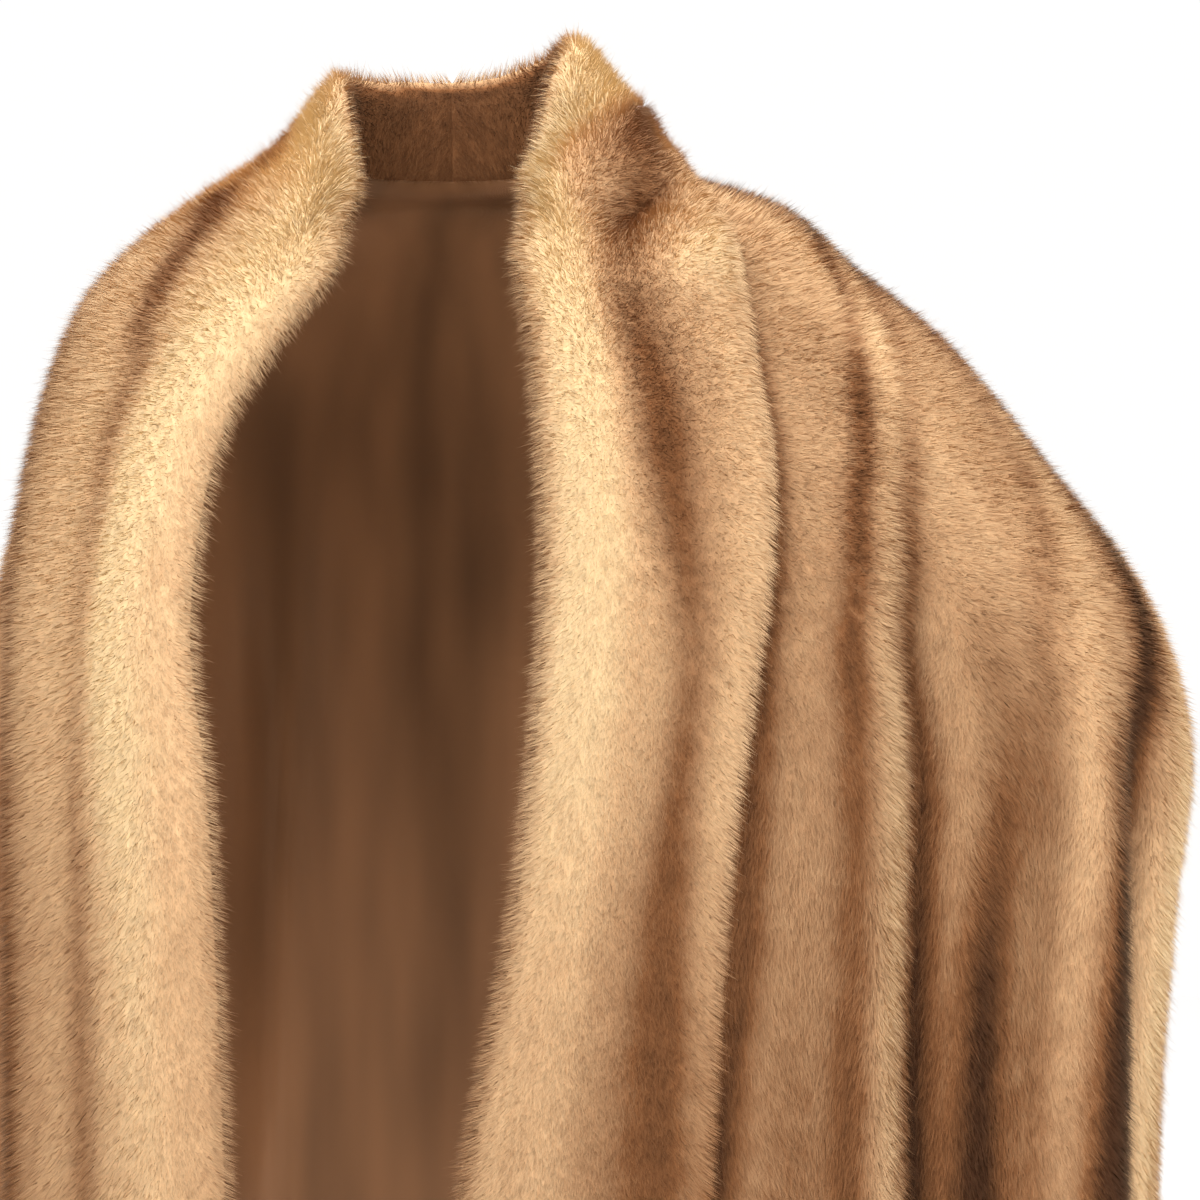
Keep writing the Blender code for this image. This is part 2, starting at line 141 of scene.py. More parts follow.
# The body's folds: place and half width at the hem in degrees, height (below 0 for a trough), and
# the levels where each one starts and is full.
FOLD_COLUMNS = ("hem_angle", "width", "height", "start", "full")
FOLDS = (
    (32.5, 3.4, 0.009, 4.8, 7.0),
    (37.5, 3.1, -0.019, 5.5, 7.6),
    (47.0, 6.5, -0.007, 6.0, 9.0),
    (61.5, 5.5, 0.014, 6.8, 8.8),
    (73.5, 4.6, -0.022, 7.0, 8.8),
    (92.0, 7.0, 0.006, 7.8, 10.0),
    (108.0, 5.5, -0.018, 7.2, 9.4),
    (121.0, 6.0, 0.012, 6.4, 9.5),
    (134.0, 5.5, -0.020, 5.6, 8.5),
    (150.0, 7.0, 0.013, 4.6, 9.0),
    (167.0, 6.0, -0.016, 5.0, 9.5),
    (183.0, 7.0, 0.011, 4.2, 9.0),
    (200.0, 5.5, -0.018, 4.4, 8.0),
    (217.0, 7.0, 0.012, 4.8, 9.5),
    (235.0, 5.5, -0.019, 5.9, 9.0),
    (253.0, 6.5, 0.009, 7.6, 10.0),
    (269.0, 5.5, -0.011, 8.2, 10.0),
    (284.0, 5.0, 0.006, 7.8, 9.8),
)

# The pinch of the left half of the collar at the shoulder, and the two lobes beside it, which come
# in over a share of the way from the roll. Stations count the collar's rows in the neck and front
# tables from the centre back. The tone column is painted shade and light that go with the dents:
# darker in the pinch's hollow and lighter on the lobe at station 8.70.
DENT_COLUMNS = ("station", "reach", "across", "spread", "slant", "height", "tone")
DENTS = (
    (7.60, 0.42, 0.64, 0.17, 4.4, -0.014, 0.62),
    (6.40, 0.60, 0.62, 0.20, 3.0, 0.003, 0.25),
    (8.70, 0.55, 0.76, 0.22, 2.0, 0.006, -0.50),
)
DENT_START = 0.1

# The roll: share of the way to the seam, with the share of its rise on the front and at the neck.
# Then, for front and neck, the length of the stand there and the lift of the fall's middle.
ROLL_PROFILE = ((0.10, 0.54, 0.36), (0.45, 0.88, 0.76), (1.0, 1.0, 1.0))
FRONT_ROLL, NECK_ROLL = 0.020, 0.070
FRONT_LIFT, NECK_LIFT = 0.45, 0.78

# The angles where the body's back is sewn to its fronts.
PANEL_SEAM_LEFT = 100.0
PANEL_SEAM_RIGHT = 260.0

# The leather: height of its outer face, room for the fur on the collar, points up the stand, curl
# of the collar's edge as a distance from it with the share of the wall, how far the sheets stop
# short of the hem, how their rows crowd at the top, and how far they overlap at the seams.
BODY_SKIN = 0.0076
COLLAR_INSIDE = 0.0055
FUR_ROOM = 0.0084
FOLD_ROOM = 0.0095
STAND_KNOTS = (1.0, 0.60, 0.25)
EDGE_KNOTS = ((0.018, 1.0), (0.008, 0.82), (0.0025, 0.50))
HEM_SHORT = 0.10
COLLAR_SHORT = 0.008
ROW_CROWDING = 1.35
COLLAR_STEPS = 400
PIECE_OVERLAP = 0.0004

# Rows and columns of each sheet's grid.
GRIDS = {
    "body_back": (66, 84),
    "body_left_front": (78, 76),
    "body_right_front": (66, 30),
    "collar_left": (96, 30),
    "collar_right": (96, 30),
}

# The pelts' dark centres and pale sides down the body, as angles at some levels, with a half width
# in degrees and a depth of tone high up and low down, above 0 for brown and below 0 for honey.
# The dark stripes beside the collar's free edge and in the folds' troughs are partly painted shade,
# and the pale stripe at the left side low down is partly painted light.
BODY_TONE = -0.12
PELT_LEVELS = (3, 4, 5, 6, 7, 8, 9, 11)
PELT_FADE = (5.5, 9.2)
PELTS_AND_PAINTED_SHADE = (
    # partly painted shade under the collar's free edge, with a brown stripe
    ((53, 46, 37, 30.5, 24, 21, 20.5, 17), 1.6, 0.90, 0.80),
    ((60, 53, 44, 35, 28, 25, 25, 24), 3.2, -0.05, 0.22),
    ((84, 72, 52.5, 40, 31.6, 29.2, 29.6, 30), 1.8, 0.95, 0.58),
    ((86, 78, 57, 43.5, 34.3, 32.8, 33.3, 33.3), 1.3, -0.30, -0.55),
    # partly painted shade in the crease
    ((88, 83, 62.5, 47, 37.7, 36.8, 37, 37.8), 1.8, 0.60, 1.08),
    ((60, 58, 66, 57, 46.5, 41, 41, 41), 4.0, -0.10, 0.05),
    ((70, 68, 60, 52, 47, 45, 44, 44.5), 3.4, -0.35, 1.00),
    ((86, 85, 78, 71.7, 53.7, 49.2, 51, 51), 2.6, 0.40, 0.30),
    ((88, 88, 84, 77, 62, 54.5, 54.5, 55), 2.2, -0.30, -0.22),
    # partly painted shade in the trough near the left side
    ((84, 84, 86, 86, 78, 64, 63.5, 63.5), 5.0, 0.85, 1.80),
    # partly painted light at the left side low down
    ((93, 93, 94, 94, 89, 80, 80, 80), 6.0, -0.10, -0.90),
    ((99, 99, 99, 98, 97, 96, 96, 96), 2.8, 0.60, 0.60),
    # Round the back and the right side, the stronger dark stripes lie in the folds' troughs and are
    # partly painted shade.
    ((108, 108, 109, 109, 109, 108, 108, 108), 3.0, 0.60, 0.95),
    ((115, 115, 116, 116, 116, 115, 115, 115), 2.4, -0.40, -0.50),
    ((121, 121, 122, 122, 122, 121, 121, 121), 2.4, 0.35, 0.50),
    ((134, 134, 134, 134, 134, 134, 134, 134), 3.0, 0.65, 1.00),
    ((142, 142, 142, 142, 142, 141, 141, 141), 3.0, -0.40, -0.50),
    ((150, 150, 150, 150, 150, 150, 150, 150), 2.6, 0.40, 0.50),
    ((166, 166, 166, 166, 166, 167, 167, 167), 3.2, 0.65, 0.95),
    ((174, 174, 174, 174, 174, 175, 175, 175), 3.0, -0.40, -0.45),
    ((182, 182, 182, 182, 182, 183, 183, 183), 2.6, 0.40, 0.50),
    ((199, 199, 199, 199, 199, 200, 200, 200), 3.0, 0.65, 1.00),
    ((208, 208, 208, 208, 208, 208, 208, 208), 3.2, -0.40, -0.50),
    ((216, 216, 216, 216, 216, 217, 217, 217), 2.6, 0.40, 0.50),
    ((233, 233, 233, 233, 234, 235, 235, 235), 3.0, 0.65, 1.00),
    ((242, 242, 242, 242, 243, 243, 243, 243), 3.0, -0.40, -0.45),
    ((251, 251, 251, 251, 252, 253, 253, 253), 2.6, 0.40, 0.50),
    ((268, 268, 268, 268, 268, 269, 269, 269), 3.0, 0.65, 0.85),
    ((276, 276, 276, 276, 276, 277, 277, 277), 3.0, -0.40, -0.45),
    ((284, 284, 284, 285, 285, 284, 284, 284), 2.4, 0.55, 0.70),
    ((298, 298, 299, 300, 300, 299, 299, 299), 3.0, 0.60, 0.75),
    ((312, 312, 313, 313, 312, 311, 311, 311), 2.4, 0.50, 0.65),
)

# Tone across the collar by the share of the way from the roll to the free edge, then the place,
# half width and depth of each half's dark and pale stripes, station by station. At the centre back
# both halves have the left half's tones. Below a share of 0, up the inside of the stand, the dark
# tone is painted shade.
COLLAR_LEFT_TONES = (
    # painted shade: the first two tones, inside the stand
    (-0.30, 0.75), (-0.04, 0.85), (0.02, 0.10), (0.07, -0.70), (0.12, -0.95), (0.30, -0.95),
    (0.42, -0.50), (0.60, -0.32), (0.78, -0.30), (0.86, -0.50), (0.94, -0.45), (1.0, 0.0),
)
COLLAR_RIGHT_TONES = (
    # painted shade: the first two tones, inside the stand
    (-0.30, 0.80), (-0.06, 0.90), (-0.01, 0.30), (0.03, -0.45), (0.10, -0.60), (0.42, -0.68),
    (0.55, -0.55), (0.68, -0.50), (0.80, -0.25), (0.90, 0.40), (1.0, 0.50),
)
BACK_TONES_END = 4.0
STRIPE_COLUMNS = ("station", "place", "width", "tone")
LEFT_STRIPE = (
    (0, 0.55, 0.14, 0.85),
    (3, 0.62, 0.14, 0.80),
    (5, 0.83, 0.13, 0.65),
    (6, 0.78, 0.15, 0.70),
    (7, 0.66, 0.12, 0.50),
    (8, 0.54, 0.12, 0.40),
    (9, 0.50, 0.15, 0.65),
    (10, 0.51, 0.16, 0.80),
    (12, 0.52, 0.15, 1.02),
    (13, 0.58, 0.13, 0.80),
    (14, 0.68, 0.10, 0.62),
    (15, 0.68, 0.10, 0.75),
    (16, 0.69, 0.16, 0.62),
    (17, 0.76, 0.24, 0.62),
    (18, 0.80, 0.28, 0.60),
)
RIGHT_STRIPE = (
    (0, 0.55, 0.14, 0.85),
    (2, 0.40, 0.10, 0.80),
    (4, 0.28, 0.07, 0.80),
    (5, 0.36, 0.06, 0.95),
    (6, 0.53, 0.065, 1.15),
    (7, 0.515, 0.065, 1.20),
    (9, 0.52, 0.065, 1.10),
    (10, 0.51, 0.065, 0.95),
    (11, 0.42, 0.060, 0.85),
    (13, 0.43, 0.055, 0.65),
    (14, 0.455, 0.050, 0.50),
    (15, 0.515, 0.050, 0.50),
    (18, 0.53, 0.06, 0.60),
)
LEFT_PALE = (
    (0, 0.20, 0.12, -0.20),
    (13, 0.20, 0.12, -0.05),
    (15, 0.20, 0.14, 0.05),
    (18, 0.20, 0.16, 0.40),
)
RIGHT_PALE = (
    (0, 0.20, 0.12, -0.20),
    (6, 0.18, 0.14, -0.50),
    (10, 0.17, 0.14, -0.60),
    (12, 0.20, 0.13, -0.55),
    (14, 0.34, 0.10, -0.55),
    (16, 0.30, 0.12, -0.40),
    (18, 0.26, 0.12, -0.25),
)

# The fur is darker towards the hem, painted shade where less light falls low down: how much, from
# which level and over how many levels.
HEM_PAINTED_SHADE = 0.34
BODY_DARKER_FROM, BODY_DARKER_OVER = 8.4, 2.6
COLLAR_DARKER_FROM, COLLAR_DARKER_OVER = 7.2, 2.5

# Fur: strands a piece, with the share of the panel's width that each piece covers.
FUR_PIECES = {
    "fur_collar_left": ("collar_left", 190_000, 0.0, 1.0),
    "fur_collar_right": ("collar_right", 180_000, 0.0, 1.0),
    "fur_left_front": ("body_left_front", 175_000, 0.0, 0.5),
    "fur_left_side": ("body_left_front", 130_000, 0.5, 1.0),
    "fur_back_left": ("body_back", 100_000, 0.0, 0.5),
    "fur_back_right": ("body_back", 90_000, 0.5, 1.0),
    "fur_right_front": ("body_right_front", 50_000, 0.0, 1.0),
}

# Random numbers: the first piece's seed, one more for each next piece, and what its locks add.
SEED, LOCK_SEED = 7, 100

# Locks: their size, where in its cell a lock's tip may lie, and how much it pulls strands in. Then
# the turns in radians and the lengths, by lock and by strand, the longer guard hairs, and how far
# the roots reach into the leather.
LOCK_WIDTH = 0.0030
LOCK_LENGTH = 0.0045
LOCK_MARGIN, LOCK_ROOM = 0.2, 0.6
LOCK_PULL = 0.12
LOCK_TURN = 0.07
STRAND_TURN = 0.13
LOCK_SHORTEST, LOCK_LONGER = 0.86, 0.22
STRAND_LENGTHS = (0.72, 1.12)
GUARD_SHARE = 0.10
GUARD_LENGTH = 1.42
ROOT_DEPTH = 0.0003

# Combing: tilt of the strands in degrees, how far they fan out, and their length. Low on the body
# the fur lies flatter and is longer. Inside the stand it is short and sparse, and at the collar's
# free edge it lies outward. None grows on the body further under the collar than the last pair.
COMB_TILT = 32.0
FLAT_TILT = 46.0
FLAT_FROM, FLAT_OVER = 6.5, 2.5
BODY_FANS = ((0.22, 0.35, 1.3), (0.18, 0.17, -2.1))
BODY_STRAND = 0.0092
FLAT_LONGER = 0.15
COLLAR_TILT = 26.0
INSIDE_TILT = 14.0
COLLAR_FAN, FAN_MIDDLE = 1.1, 0.5
EDGE_START, EDGE_TILT, EDGE_FAN = 0.90, 30.0, 1.2
COLLAR_STRAND = 0.0092
INSIDE_WAY = 0.05
INSIDE_SHORTER = 0.25
INSIDE_SPARSER = 0.35
UNDER_LEVEL, UNDER_ANGLE = 0.8, 5.0

# Each strand's place on its piece's UV map.
BAKE_START, BAKE_SPAN = 0.008, 0.98
BAKE_BLADE = ((-0.001, 0.0), (0.001, 0.0), (0.0, 0.004))

# Finishes: the span of tone by patch, lock and strand, how pale the tips are, partly their own
# colour and partly painted highlight, the share of colour left at the roots, partly the wool's own
# darker colour and partly painted shade between the strands, the wool under the fur, and the
# lining's threads and puckers, whose hollows get painted shade. Scales are in turns a metre, and a
# bump has its strength and its height in metres.
FUR_SHADES = ("Pale", "Honey", "Tan", "Brown", "Dark")
PATCH_SCALE, PATCH_DETAIL = 55.0, 3.0
PATCH_TONES, LOCK_TONES, STRAND_TONES = 0.36, 0.12, 0.26
TIP_PALENESS_AND_HIGHLIGHT, TIP_POWER = 0.06, 3.0
ROOT_SHADE = 0.75
FUR_SHEEN_TINT = (1.0, 0.72, 0.45, 1.0)
WOOL_SCALE = (1900.0, 1900.0, 420.0)
WOOL_SPAN, WOOL_START = 1.0, 0.2
WOOL_BUMP = (0.6, 0.001)
LINING_THREADS = 900.0
LINING_PUCKERS = (16.0, 16.0, 3.0)
LINING_TINT = (1.0, 0.72, 0.50, 1.0)
PUCKER_RANGE, PUCKER_SHADE = (0.25, 0.65), 0.3
THREAD_HEIGHT = 0.04
LINING_BUMP = (0.5, 0.012)
FLOOR_ROUGHNESS = 0.9

# The stage: square lamps with their width in metres and power in watts, the light all round, and
# the camera, level and facing +Y.
LIGHTS = (
    # name, place, aim, width, power
    ("key", (-0.9, -2.4, 1.3), (0.05, -0.1, -0.3), 1.8, 61.0),
    ("fill", (1.8, -1.8, 0.5), (0.1, 0.0, -0.3), 1.8, 32.0),
    ("top", (0.0, -0.2, 2.0), (0.05, 0.0, -0.2), 1.6, 40.0),
    ("back", (-0.6, 2.2, 1.0), (0.0, 0.0, -0.2), 1.8, 30.0),
)
WORLD_COLOUR, WORLD_STRENGTH = (1.0, 0.99, 0.98, 1.0), 1.02
FLOOR_LEVEL, FLOOR_RADIUS, FLOOR_SIDES = -1.15, 6.0, 96
CAMERA_LENS = 103.44
CAMERA_SENSOR = 36.0
CAMERA_PLACE = (0.0887, -2.0743, -0.2419)


def column(columns, rows, name):
    return np.array([row[columns.index(name)] for row in rows], float)


def spline(places, values, at):
    """A smooth curve through the values at rising places, read where it is asked for."""
    slopes = np.gradient(values, places)
    at = np.asarray(at, float)
    cell = np.clip(np.searchsorted(places, at, side="right") - 1, 0, len(places) - 2)
    width = places[cell + 1] - places[cell]
    part = (at - places[cell]) / width
    start = values[cell] * (1 + 2 * part) + slopes[cell] * width * part
    finish = values[cell + 1] * (3 - 2 * part) - slopes[cell + 1] * width * (1 - part)
    return start * (1 - part) ** 2 + finish * part**2


def section(name, level):
    levels = column(SECTION_COLUMNS, SECTIONS, "level")
    return spline(levels, column(SECTION_COLUMNS, SECTIONS, name), level)


def ease(value):
    value = np.clip(value, 0.0, 1.0)
    return value * value * (3 - 2 * value)


def plain_point(angle, level):
    """The inner face before any fold: a squared ellipse at each level, higher or lower all round."""
    turn = np.radians(angle)
    side, fore = np.sin(turn), np.cos(turn)
    power = 2.0 / section("square", level)
    across = np.where(side >= 0, section("left", level), section("right", level))
    along = np.where(fore >= 0, section("front", level), section("back", level))
    side_z = np.where(side >= 0, section("left_z", level), section("right_z", level))
    fore_z = np.where(fore >= 0, section("front_z", level), section("back_z", level))
    x = across * np.sign(side) * np.abs(side) ** power
    y = -along * np.sign(fore) * np.abs(fore) ** power
    return np.stack([x, y, side_z * side**2 + fore_z * fore**2], axis=-1)


def plain_normal(angle, level):
    """The outward direction of the plain inner face, from points a little to each side."""
    step_angle, step_level = NORMAL_STEPS
    round_it = plain_point(angle + step_angle, level) - plain_point(angle - step_angle, level)
    down = plain_point(angle, level + step_level) - plain_point(angle, level - step_level)
    normal = np.cross(down, round_it)
    return normal / np.linalg.norm(normal, axis=-1, keepdims=True)


def fold_angle(hem_angle, level):
    """Where a fold that hangs plumb above its place at the hem crosses a higher level."""
    side = np.sin(np.radians(hem_angle))
    half = "left" if side >= 0 else "right"
    hem_share = np.abs(side) ** (2 / section("square", HEM))
    share = np.clip(hem_share * section(half, HEM) / section(half, level), 0.0, FOLD_REACH)
    quarter = np.degrees(np.arcsin(share ** (section("square", level) / 2)))
    turned = quarter if np.cos(np.radians(hem_angle)) >= 0 else 180.0 - quarter
    return turned if side >= 0 else 360.0 - turned


def folds(angle, level):
    """How far the folds push the cloth out (ridges) or in (troughs)."""
    total = np.zeros(np.broadcast(angle, level).shape)
    for row in FOLDS:
        fold = dict(zip(FOLD_COLUMNS, row))
        middle = fold_angle(fold["hem_angle"], level)
        widening = np.abs(fold_angle(fold["hem_angle"] + 1.0, level) - middle)
        off = (angle - middle) / (fold["width"] * np.maximum(widening, 1.0))
        shown = ease((level - fold["start"]) / (fold["full"] - fold["start"]))
        total = total + fold["height"] * shown * np.exp(-(off**2))
    return total


def place(angle, level, out):
    """A point at a height above the folded inner face."""
    angle, level = np.asarray(angle, float), np.asarray(level, float)
    height = np.asarray(folds(angle, level) + out)
    return plain_point(angle, level) + plain_normal(angle, level) * height[..., None]


def angle_at(level, across, own_side):
    """The angle whose point on the front lies this far from the centre plane."""
    left = across * own_side >= 0
    half = np.where(left, section("left", level), section("right", level))
    share = np.clip(np.abs(across) / half, 0.0, 1.0) ** (section("square", level) / 2)
    turn = np.degrees(np.arcsin(share)) * np.where(left, 1.0, -1.0)
    return turn if own_side > 0 else 360.0 + turn


def front_edge(level, own_side):
    """The angle of the body's front edge, where the collar is sewn on."""
    rows = FRONT_LEFT if own_side > 0 else FRONT_RIGHT
    levels = column(FRONT_COLUMNS, rows, "level")
    return angle_at(level, spline(levels, column(FRONT_COLUMNS, rows, "seam"), level), own_side)


def angle_step(angle, level, distance):
    """The turn that moves a point round the garment by this distance."""
    reach = plain_point(angle + 0.5, level) - plain_point(angle - 0.5, level)
    return distance / np.linalg.norm(reach, axis=-1)


def nape():
    return plain_point(np.float64(NAPE_ANGLE), np.float64(NAPE_LEVEL))


def stations(own_side):
    """The collar's stations from the centre back to the hem, as columns of angles and levels."""
    neck = NECK_LEFT if own_side > 0 else NECK_RIGHT
    front = FRONT_LEFT if own_side > 0 else FRONT_RIGHT
    angle = column(NECK_COLUMNS, neck, "angle")
    level = column(FRONT_COLUMNS, front, "level")
    roll_level = column(FRONT_COLUMNS, front, "roll_level")
    free_level = column(FRONT_COLUMNS, front, "free_level")
    roll = angle_at(roll_level, column(FRONT_COLUMNS, front, "roll"), own_side)
    free = angle_at(free_level, column(FRONT_COLUMNS, front, "free"), own_side)
    seam = front_edge(level, own_side)
    turned = column(NECK_COLUMNS, neck, "free_turn")
    return {
        "seam": np.concatenate([angle, seam]),
        "seam_level": np.concatenate([0 * angle, level]),
        "roll": np.concatenate([angle, roll]),
        "roll_level": np.concatenate([column(NECK_COLUMNS, neck, "roll_level"), roll_level]),
        "free": np.concatenate([angle + turned, free]),
        "free_level": np.concatenate([column(NECK_COLUMNS, neck, "free_level"), free_level]),
        "rise": np.concatenate(
            [column(NECK_COLUMNS, neck, "rise"), column(FRONT_COLUMNS, front, "rise")]
        ),
    }


def between(here, first, last, share):
    """Angle and level part of the way from one line of the collar to another."""
    angle = here[first] * (1 - share) + here[last] * share
    level = here[first + "_level"] * (1 - share) + here[last + "_level"] * share
    return angle, level


def length(here, first, last):
    """The straight distance between two lines of the collar."""
    ends = [place(*between(here, first, last, share), 0.0) for share in (0.0, 1.0)]
    return np.linalg.norm(ends[1] - ends[0], axis=-1)


def dents(station, across, what):
    """How far the pinch and its lobes move the left half's outer side, or the painted shade and
    light that they add to its tone.
    """
    total = 0.0 * across
    for row in DENTS:
        dent = dict(zip(DENT_COLUMNS, row))
        off = across - dent["across"]
        along = (station - dent["station"] + dent["slant"] * off) / dent["reach"]
        total = total + dent[what] * np.exp(-(along**2) - (off / dent["spread"]) ** 2)
    return total


def collar_knots(lines):
    """The points that the collar's leather passes at each station, up the stand, round the roll
    and over the fall, and their distances from the roll, below 0 on the stand."""
    rest = WALL + CLEARANCE
    stand, fall = length(lines, "roll", "seam"), length(lines, "seam", "free")
    at_neck = ease((stand - FRONT_ROLL) / (NECK_ROLL - FRONT_ROLL))
    points = [place(*between(lines, "roll", "seam", at), COLLAR_INSIDE) for at in STAND_KNOTS]
    gone = [-at * stand for at in STAND_KNOTS]
    for at, on_front, on_neck in ROLL_PROFILE:
        height = lines["rise"] * (on_front * (1 - at_neck) + on_neck * at_neck)
        height = np.maximum(height - FUR_ROOM, FOLD_ROOM)
        points.append(place(*between(lines, "roll", "seam", at), height))
        gone.append(at * stand)
    full = rest + COLLAR_WALL
    lift = FRONT_LIFT * (1 - at_neck) + NECK_LIFT * at_neck
    middle = full * (1 - lift) + lines["rise"] * lift - FUR_ROOM
    points.append(place(*between(lines, "seam", "free", 0.5), middle))
    gone.append(stand + fall / 2)
    for distance, left in EDGE_KNOTS:
        at = 1 - distance / fall
        height = rest + COLLAR_WALL * left - FUR_ROOM
        points.append(place(*between(lines, "seam", "free", at), height + 0 * at))
        gone.append(stand + fall * at)
    return np.stack(points, axis=1), np.stack(gone, axis=1) / (stand + fall)[:, None]


def collar_surface(lines, station, columns, own_side):
    """The grid of one half of the collar, and the share of the way from the roll to the free
    edge at each of its points."""
    knots, gone = collar_knots(lines)
    points, share = [], []
    for row, stops in zip(knots, gone):
        runs = np.linalg.norm(np.diff(row, axis=0), axis=1)
        along = np.concatenate([[0.0], np.cumsum(runs)])
        at = np.linspace(0.0, along[-1], columns)
        points.append(np.stack([spline(along, row[:, axis], at) for axis in range(3)], -1))
        share.append(np.interp(at, along, stops))
    points, share = np.array(points), np.array(share)
    if own_side < 0:
        return points, share
    on_fall = np.clip(share, 0.0, 1.0)
    spread = {key: row[:, None] for key, row in lines.items()}
    outward = plain_normal(*between(spread, "seam", "free", on_fall))
    shift = dents(station[:, None], on_fall, "height") * ease(share / DENT_START)
    return points + outward * shift[..., None], share


class Sheet:
    """A grid of points over one piece's leather, with what its fur needs to know at each point."""

    def __init__(self, points, tone, fur, towards):
        self.points, self.tone, self.towards = points, tone, towards
        self.lift, self.fan, self.strand, self.density = fur
        across = np.gradient(points, axis=1)
        down = np.gradient(points, axis=0)
        normal = np.cross(down, across) * towards
        self.normal = normal / np.linalg.norm(normal, axis=-1, keepdims=True)
        self.down = down / np.linalg.norm(down, axis=-1, keepdims=True)
        self.across = across / np.linalg.norm(across, axis=-1, keepdims=True)


def body_tone(angle, level):
    """Honey below 0, tan at 0 and brown above, from the stripes of the pelts, partly painted shade
    and light, and painted shade towards the hem.
    """
    tone = np.full(np.broadcast(angle, level).shape, BODY_TONE)
    for angles, width, high, low in PELTS_AND_PAINTED_SHADE:
        middle = np.interp(level, PELT_LEVELS, angles)
        depth = np.interp(level, PELT_FADE, (high, low))
        tone = tone + depth * np.exp(-(((angle - middle) / width) ** 2))
    # painted shade: the body is darker towards the hem
    return tone + HEM_PAINTED_SHADE * ease((level - BODY_DARKER_FROM) / BODY_DARKER_OVER)


def under_collar(angle, level):
    """1 where the collar lies over the body and 0 where the body shows."""
    hidden = np.zeros(angle.shape)
    for own_side in (1, -1):
        made = stations(own_side)
        side = (angle < 180.0) if own_side > 0 else (angle >= 180.0)
        turn = angle if own_side > 0 else 360.0 - angle
        free = made["free"] if own_side > 0 else 360.0 - made["free"]
        neck = len(NECK_LEFT)
        by_level = np.interp(-turn, -free[:neck], made["free_level"][:neck])
        by_angle = np.interp(level, made["free_level"][neck:], free[neck:])
        above = (turn > free[neck - 1]) & (level < by_level - UNDER_LEVEL)
        beside = (turn <= free[neck - 1]) & (turn < by_angle - UNDER_ANGLE)
        hidden = np.where(side & (above | beside), 1.0, hidden)
    return hidden


def body_sheet(name):
    """The grid of one body panel."""
    rows, columns = GRIDS[name]
    level = ((HEM - HEM_SHORT) * np.linspace(0.0, 1.0, rows) ** ROW_CROWDING)[:, None]
    edges = {
        "body_left_front": (front_edge(level, 1), PANEL_SEAM_LEFT),
        "body_back": (PANEL_SEAM_LEFT, PANEL_SEAM_RIGHT),
        "body_right_front": (PANEL_SEAM_RIGHT, front_edge(level, -1)),
    }
    first, last = (edge + 0 * level for edge in edges[name])
    first = first - angle_step(first, level, PIECE_OVERLAP)
    last = last + angle_step(last, level, PIECE_OVERLAP)
    share = np.linspace(0.0, 1.0, columns)[None, :]
    angle = first * (1 - share) + last * share
    level = np.broadcast_to(level, angle.shape)
    points = place(angle, level, BODY_SKIN) - nape()
    flat = ease((level - FLAT_FROM) / FLAT_OVER)
    lift = COMB_TILT + (FLAT_TILT - COMB_TILT) * flat
    fan = sum(much * np.sin(turn * angle + down * level) for much, turn, down in BODY_FANS)
    strand = BODY_STRAND * (1 + FLAT_LONGER * flat)
    density = 1.0 - under_collar(angle, level)
    return Sheet(points, body_tone(angle, level), (lift, fan, strand, density), 1)


def collar_sheet(name):
    """The grid of one half of the collar."""
    own_side = 1 if name == "collar_left" else -1
    rows, columns = GRIDS[name]
    made = stations(own_side)
    index = np.arange(len(made["seam"]), dtype=float)
    fine = np.linspace(0.0, index[-1], COLLAR_STEPS)
    angle, level = spline(index, made["seam"], fine), spline(index, made["seam_level"], fine)
    line = plain_point(angle, np.clip(level, 0.0, HEM))
    gone = np.concatenate([[0.0], np.cumsum(np.linalg.norm(np.diff(line, axis=0), axis=1))])
    at = np.interp(np.linspace(0.0, gone[-1] - COLLAR_SHORT, rows), gone, fine)
    values = {key: spline(index, knots, at) for key, knots in made.items()}
    values["seam_level"] = np.clip(values["seam_level"], 0.0, HEM)
    on_front = values["seam_level"] > 0.0
    values["seam"] = np.where(on_front, front_edge(values["seam_level"], own_side), values["seam"])
    points, share = collar_surface(values, at, columns, own_side)
    station = np.broadcast_to(at[:, None], share.shape)
    own_tones = COLLAR_LEFT_TONES if own_side > 0 else COLLAR_RIGHT_TONES
    own = ease(station / BACK_TONES_END)
    stripes = (LEFT_STRIPE, LEFT_PALE) if own_side > 0 else (RIGHT_STRIPE, RIGHT_PALE)
    # below 0 on the share, inside the stand, this tone is painted shade
    tone = np.interp(share, *zip(*own_tones)) * own
    tone = tone + np.interp(share, *zip(*COLLAR_LEFT_TONES)) * (1 - own)
    for stripe in stripes:
        stops = column(STRIPE_COLUMNS, stripe, "station")
        middle, width, depth = (
            np.interp(station, stops, column(STRIPE_COLUMNS, stripe, key))
            for key in ("place", "width", "tone")
        )
        tone = tone + depth * np.exp(-(((share - middle) / width) ** 2))
    # painted shade: the collar is darker towards the hem too
    low = (values["seam_level"][:, None] - COLLAR_DARKER_FROM) / COLLAR_DARKER_OVER
    tone = tone + HEM_PAINTED_SHADE * ease(low)
    # painted shade and light that go with the pinch and its lobes
    if own_side > 0:
        tone = tone + dents(station, np.clip(share, 0.0, 1.0), "tone")
    inside = ease(-share / INSIDE_WAY)
    strand = COLLAR_STRAND * (1 - INSIDE_SHORTER * inside)
    at_edge = ease((share - EDGE_START) / (1 - EDGE_START))
    lift = COLLAR_TILT + INSIDE_TILT * inside + EDGE_TILT * at_edge
    fan = COLLAR_FAN * (share - FAN_MIDDLE) + EDGE_FAN * at_edge
    density = 1.0 - INSIDE_SPARSER * inside
    return Sheet(points - nape(), tone, (lift, fan, strand, density), own_side)


